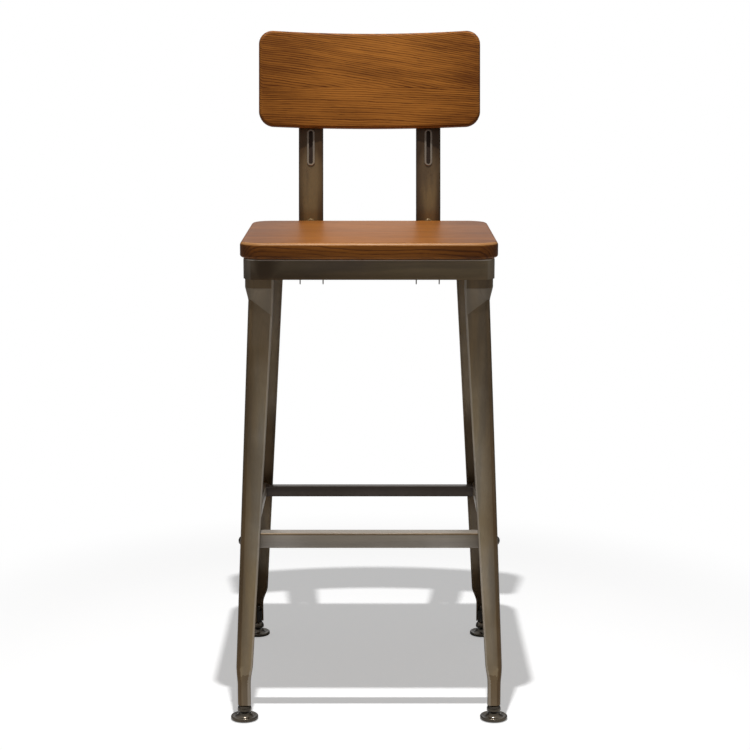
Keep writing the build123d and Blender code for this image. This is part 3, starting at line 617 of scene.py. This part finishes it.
def bevel_edges(shape, edges, width, steps):
    bmesh.ops.bevel(shape, geom=edges, offset=width, segments=steps, profile=0.5, affect="EDGES",
                    material=-1)


def level_edges(shape, height):
    return [edge for edge in shape.edges
            if all(abs(vert.co.z - height) < SAME_HEIGHT for vert in edge.verts)]


def standing_edges(shape):
    return [edge for edge in shape.edges if abs(edge.verts[0].co.z - edge.verts[1].co.z) > SAME_HEIGHT]


def arris_highlight_mark(top):
    """Painted highlight on the rounded front edge of the seat's top."""
    def amount(face, vert):
        rounded = ARRIS_TURN[0] < face.normal.z < ARRIS_TURN[1] and vert.co.z > top - SEAT_TOP_ROUND
        return ARRIS_HIGHLIGHT if rounded and face.normal.y < ARRIS_FRONT else 0.0
    return amount


def side_mark(face, vert):
    """Painted shade on the seat's sides."""
    return SIDE_SHADE if abs(face.normal.z) < SIDE_TURN else 0.0


def make_seat():
    low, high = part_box("seat_board")
    shape = bmesh.new()
    bmesh.ops.create_cube(shape, size=1.0)
    bmesh.ops.scale(shape, vec=high - low, verts=shape.verts)
    bmesh.ops.translate(shape, vec=(low + high) / 2, verts=shape.verts)
    bevel_edges(shape, standing_edges(shape), SEAT_CORNER, SEAT_CORNER_STEPS)
    bevel_edges(shape, level_edges(shape, high.z), SEAT_TOP_ROUND, SEAT_TOP_STEPS)
    bevel_edges(shape, level_edges(shape, low.z), SEAT_BOTTOM_ROUND, SEAT_BOTTOM_STEPS)
    for face in shape.faces:
        face.smooth = True
    shape.normal_update()
    add_marks(shape, {"worn": arris_highlight_mark(high.z), "dark": side_mark})
    mesh = bpy.data.meshes.new("seat_wood")
    shape.to_mesh(mesh)
    shape.free()
    mesh.materials.append(SEAT_WOOD)
    return show(bpy.data.objects.new("seat_wood", mesh), "seat_board")


seat = make_seat()
print("seat", len(seat.data.polygons), "faces")

# %% [markdown]
# The rest keeps the loaded shapes as smooth copies. Some faces are marked first, and a face's place or
# direction tells which. The rims of the uprights' slots, the fold along the top of the pan and the
# tops of the rails get a painted highlight, strongest at the slots' lower ends, and the rounded front
# edges of the rails get painted shade.

# %% Marks on uprights, pan and rails
LEAN = radians(10)
LEAN_FRONT = Vector((0, -cos(LEAN), sin(LEAN)))
RIM_PROUD = 0.0015
RIM_END = 0.846
RIM_HIGHLIGHT = 0.24
RIM_END_HIGHLIGHT = 0.9
FOLD_HEIGHT = 0.0028
FOLD_HIGHLIGHT = 0.4
PAN_CORNER = 0.186
PAN_CORNER_HIGHLIGHT = 0.1
RAIL_TOP_TURN = 0.9
RAIL_TOP_HIGHLIGHT = 0.2
RAIL_EDGE_TURN = (0.05, 0.95)
RAIL_EDGE_FRONT = -0.05
RAIL_EDGE_DARK = 1.0


def rim_mark(bend):
    """Painted highlight on the faces proud of an upright's leaning front, most of all at the slot's lower
    end.
    """
    def amount(face, vert):
        offset = face.calc_center_median() - bend
        if offset.z < 0 or offset.dot(LEAN_FRONT) < RIM_PROUD:
            return 0.0
        return RIM_END_HIGHLIGHT if vert.co.z < RIM_END else RIM_HIGHLIGHT
    return amount


def fold_mark(top):
    """Painted highlight along the rounded fold at the top of the pan, and a little on its corners."""
    def amount(face, vert):
        if face.calc_center_median().z > top - FOLD_HEIGHT:
            return FOLD_HIGHLIGHT
        return PAN_CORNER_HIGHLIGHT if abs(vert.co.x) > PAN_CORNER else 0.0
    return amount


def rail_top_mark(face, vert):
    """Painted highlight on faces that look up."""
    return RAIL_TOP_HIGHLIGHT if face.normal.z > RAIL_TOP_TURN else 0.0


def rail_edge_mark(face, vert):
    """Painted shade on the rounded edge between a rail's top and its front."""
    rounded = RAIL_EDGE_TURN[0] < face.normal.z < RAIL_EDGE_TURN[1]
    return RAIL_EDGE_DARK if rounded and face.normal.y < RAIL_EDGE_FRONT else 0.0


# Prints the painted highlight on the slot rims.
print("slot rims worn", RIM_HIGHLIGHT, "and", RIM_END_HIGHLIGHT, "at their lower ends")

# %% [markdown]
# A leg is an angle of folded sheet. The direction out of its corner tells its faces apart: those that
# look outwards, those inside, and the narrow folds between, whose edges get a painted highlight. The
# head, the rounded corner and the foot get painted shade. The slanted facets between the shank and
# the head get a faint painted highlight.

# %% Marks on legs
INNER_TURN = -0.1
OUTER_TURN = 0.1
CORNER_TURN = 0.76
FOLD_TURN = (-0.5, 0.6)
STANDING_TURN = 0.5
EDGE_HIGHLIGHT = 0.25
FACET_HIGHLIGHT = 0.12
FACET_BOTTOM = 0.6
FACET_TURN = -0.06
HEAD_BOTTOM = 0.69
HEAD_DARK = 0.8
FOOT_TOP = 0.075
FOOT_DARK = 0.6
CORNER_DARK = 0.9


def outward_of(corner):
    """The level direction out of the corner of the leg that stands at this place."""
    return Vector((copysign(1, corner.x), copysign(1, corner.y), 0)).normalized()


def inner_mark(outward):
    """The faces inside a leg's angle."""
    return lambda face, vert: 1.0 if face.normal.dot(outward) < INNER_TURN else 0.0


def leg_dark_mark(outward):
    """Painted shade on a leg's head and foot and along its rounded corner."""
    def amount(face, vert):
        height = face.calc_center_median().z
        if height > HEAD_BOTTOM:
            return HEAD_DARK
        around = [near.normal.dot(outward) for near in vert.link_faces if near.normal.z > FACET_TURN]
        rounded = sum(turn > CORNER_TURN for turn in around)
        dark = CORNER_DARK * rounded / max(1, sum(turn > OUTER_TURN for turn in around))
        return max(dark, FOOT_DARK) if height < FOOT_TOP else dark
    return amount


def leg_highlight_mark(outward):
    """Painted highlight on a leg's folded edges, and a little on its slanted facets."""
    def amount(face, vert):
        standing = abs(face.normal.z) < STANDING_TURN
        if standing and FOLD_TURN[0] < face.normal.dot(outward) < FOLD_TURN[1]:
            return EDGE_HIGHLIGHT
        on_facet = FACET_BOTTOM < face.calc_center_median().z < HEAD_BOTTOM
        return FACET_HIGHLIGHT if on_facet and face.normal.z < FACET_TURN else 0.0
    return amount


print("leg heads from", HEAD_BOTTOM, "m and facets from", FACET_BOTTOM, "m above the floor")

# %% [markdown]
# Now each node gets its skin. Most need only a finish. The legs, uprights, rails and pan also get
# their marks.

# %% The other pieces
RIM_HEIGHT = 0.002
BEND_HEIGHT = 0.779
BEND = Vector((0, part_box("upright_left")[0].y + RIM_HEIGHT, BEND_HEIGHT))
CORNERS = [f"{end}_{side}" for end in ("front", "rear") for side in ("left", "right")]
RAILS = {"front": FRONT_RAIL_STEEL, "rear": REAR_RAIL_SHADED_STEEL, "left": SIDE_RAIL_STEEL,
         "right": SIDE_RAIL_STEEL}
SKINS = {"backrest_board": BACK_WOOD, "footrest_bolts": GLIDE_STEEL, "clamp_strip_left": STRIP_PAINTED_SHADE_STEEL,
         "clamp_strip_right": STRIP_PAINTED_SHADE_STEEL, "backrest_inserts": BRASS}
for corner in CORNERS:
    SKINS[f"foot_stud_{corner}"] = GLIDE_STEEL
    SKINS[f"foot_base_{corner}"] = GLIDE_STEEL
    SKINS[f"foot_liner_{corner}"] = LINER
    SKINS[f"foot_pad_{corner}"] = RUBBER
    SKINS[f"foot_plug_{corner}"] = PLUG_PAINTED_SHADE_STEEL
for node in ("seat_screws", "footrest_plugs", "upright_bolts", "upright_washers", "upright_spacers",
             "upright_nuts", "backrest_bolts", "backrest_washers"):
    SKINS[node] = ZINC_STEEL
skins = [smooth_copy(node, material) for node, material in SKINS.items()]
for corner in CORNERS:
    low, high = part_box(f"foot_plug_{corner}")
    outward = outward_of(low + high)
    skins.append(smooth_copy(f"leg_{corner}", LEG_STEEL, dark=leg_dark_mark(outward),
                             inner=inner_mark(outward), worn=leg_highlight_mark(outward)))
for side in ("left", "right"):
    skins.append(smooth_copy(f"upright_{side}", BACK_STEEL, worn=rim_mark(BEND)))
for side, material in RAILS.items():
    skins.append(smooth_copy(f"footrest_{side}", material, worn=rail_top_mark, dark=rail_edge_mark))
skins.append(smooth_copy("seat_pan", PAN_SHADED_STEEL, worn=fold_mark(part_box("seat_pan")[1].z)))
print("smooth copies", len(skins))

# %% [markdown]
# The studio: a sheet of white paper that keeps the stool's shadow, one small lamp high above and a
# little in front, and faint light from all round. The picture's ground is plain white, but the
# steel must not mirror white everywhere, or it would look like chalk. So only the camera sees white.
# Reflections see the paper near the stool, and a dim floor further out.

# %% Floor
FLOOR_SIZE = 30.0
FLOOR_DROP = 0.0003
FLOOR_GLOW = 0.4
PAPER_WHITE = (0.97, 0.97, 0.97, 1)
PLAIN_WHITE = (1, 1, 1, 1)
PAPER_SHIFT = (0, -0.15, 0)
FADE_RANGE = (0.6, 1.0)
MIRROR_FADE_RANGE = (1.1, 1.7)
MIRROR_FLOOR = 0.17


def floor_material():
    material = bpy.data.materials.new("Floor white")
    material.use_nodes = True
    tree = material.node_tree
    tree.nodes.clear()
    place = add_node(tree, "ShaderNodeTexCoord").outputs["Object"]
    place = add_node(tree, "ShaderNodeVectorMath", {0: place, 1: PAPER_SHIFT}, operation="ADD").outputs[0]
    reach = length(tree, place)
    path = add_node(tree, "ShaderNodeLightPath").outputs
    by_camera = path["Is Camera Ray"]
    paper = add_node(tree, "ShaderNodeBsdfDiffuse", {"Color": PAPER_WHITE})
    glow_strength = times(tree, by_camera, FLOOR_GLOW)
    glow = add_node(tree, "ShaderNodeEmission", {"Strength": glow_strength, "Color": PLAIN_WHITE})
    near = add_node(tree, "ShaderNodeAddShader", {0: paper.outputs[0], 1: glow.outputs[0]})
    far_strength = choose(tree, by_camera, MIRROR_FLOOR, 1.0)
    far = add_node(tree, "ShaderNodeEmission", {"Strength": far_strength, "Color": PLAIN_WHITE})
    fade = choose(tree, by_camera, ramp(tree, reach, *MIRROR_FADE_RANGE), ramp(tree, reach, *FADE_RANGE))
    share = times(tree, fade, larger(tree, by_camera, path["Is Glossy Ray"]))
    both = add_node(tree, "ShaderNodeMixShader", {0: share, 1: near.outputs[0], 2: far.outputs[0]})
    end = add_node(tree, "ShaderNodeOutputMaterial")
    tree.links.new(both.outputs[0], end.inputs[0])
    return material


def make_floor():
    shape = bmesh.new()
    bmesh.ops.create_grid(shape, x_segments=1, y_segments=1, size=FLOOR_SIZE / 2)
    bmesh.ops.translate(shape, vec=(0, 0, -FLOOR_DROP), verts=shape.verts)
    mesh = bpy.data.meshes.new("floor")
    shape.to_mesh(mesh)
    shape.free()
    mesh.materials.append(floor_material())
    floor = bpy.data.objects.new("floor", mesh)
    bpy.context.scene.collection.objects.link(floor)
    return floor


floor = make_floor()
print("floor", floor.dimensions[:2])

# %% [markdown]
# The room that the steel mirrors is bright above, lighter at the sides of the camera and dark further
# round. A photographer stands black cards beside a thing in that way, to draw its edges on a white
# ground. The room's light on dull surfaces is faint and even.

# %% World and lamp
SKY_RANGE = (0.0, 0.9, 0.05, 0.13)
ROOM_FRONT = 0.3
ROOM_SIDE = 0.5
ROOM_CARD = 0.44
ROOM_TOP = 0.9
SIDE_RANGE = (0.12, 0.3)
CARD_START = (0.45, 0.62)
CARD_END = (0.85, 0.97)
TOP_RANGE = (0.2, 0.9)
LAMP_PLACE = Vector((-0.02, -0.5215, 3.05))
LAMP_AIM = Vector((0, 0, 0.6))
LAMP_POWER = 53.0
LAMP_SIZE = 0.05


def mirrored_room(tree, sideways, back, height):
    """How bright the room is in reflections. Its share of a half turn is 0 at the camera, 1 behind."""
    front = times(tree, back, -1.0)
    angle = calc(tree, "ARCTAN2", calc(tree, "ABSOLUTE", sideways), front)
    half_turn = calc(tree, "DIVIDE", angle, pi)
    side = ramp(tree, half_turn, *SIDE_RANGE, ROOM_FRONT, ROOM_SIDE)
    card = minus(tree, ramp(tree, half_turn, *CARD_START), ramp(tree, half_turn, *CARD_END))
    room = minus(tree, side, times(tree, card, ROOM_CARD))
    return ramp(tree, height, *TOP_RANGE, room, ROOM_TOP)


def make_world():
    world = bpy.data.worlds.new("Studio")
    world.use_nodes = True
    bpy.context.scene.world = world
    tree = world.node_tree
    tree.nodes.clear()
    direction = add_node(tree, "ShaderNodeTexCoord").outputs["Generated"]
    sideways, back, height = split(tree, direction)
    path = add_node(tree, "ShaderNodeLightPath").outputs
    light = ramp(tree, height, *SKY_RANGE)
    mirrored = mirrored_room(tree, sideways, back, height)
    strength = choose(tree, path["Is Glossy Ray"], light, mirrored)
    strength = choose(tree, path["Is Camera Ray"], strength, 1.0)
    sky = add_node(tree, "ShaderNodeBackground", {"Color": PLAIN_WHITE, "Strength": strength})
    end = add_node(tree, "ShaderNodeOutputWorld")
    tree.links.new(sky.outputs[0], end.inputs[0])


def make_lamp():
    lamp = bpy.data.lights.new("Key lamp", "AREA")
    lamp.shape = "DISK"
    lamp.size = LAMP_SIZE
    lamp.energy = LAMP_POWER
    holder = bpy.data.objects.new("Key lamp", lamp)
    holder.location = LAMP_PLACE
    holder.rotation_euler = (LAMP_AIM - LAMP_PLACE).to_track_quat("-Z", "Y").to_euler()
    bpy.context.scene.collection.objects.link(holder)


make_world()
make_lamp()
print("lamp", LAMP_POWER, "watts, at height", LAMP_PLACE.z)

# %% [markdown]
# The camera stands a little over three metres in front, at shoulder height, and looks slightly down.
# A long lens from there gives the photograph's gentle perspective.

# %% Camera
CAMERA_PLACE = (0.0094, -3.1988, 1.0965)
CAMERA_DOWN = 10.21
CAMERA_LENS = 93.26
SENSOR_WIDTH = 36.0

lens = bpy.data.cameras.new("Camera")
lens.sensor_width = SENSOR_WIDTH
lens.lens = CAMERA_LENS
camera = bpy.data.objects.new("Camera", lens)
camera.location = CAMERA_PLACE
camera.rotation_euler = (radians(90 - CAMERA_DOWN), 0, 0)
bpy.context.scene.collection.objects.link(camera)
bpy.context.scene.camera = camera
bpy.context.scene.view_settings.view_transform = "Standard"
print("camera at", CAMERA_PLACE, "with a lens of", CAMERA_LENS, "mm")
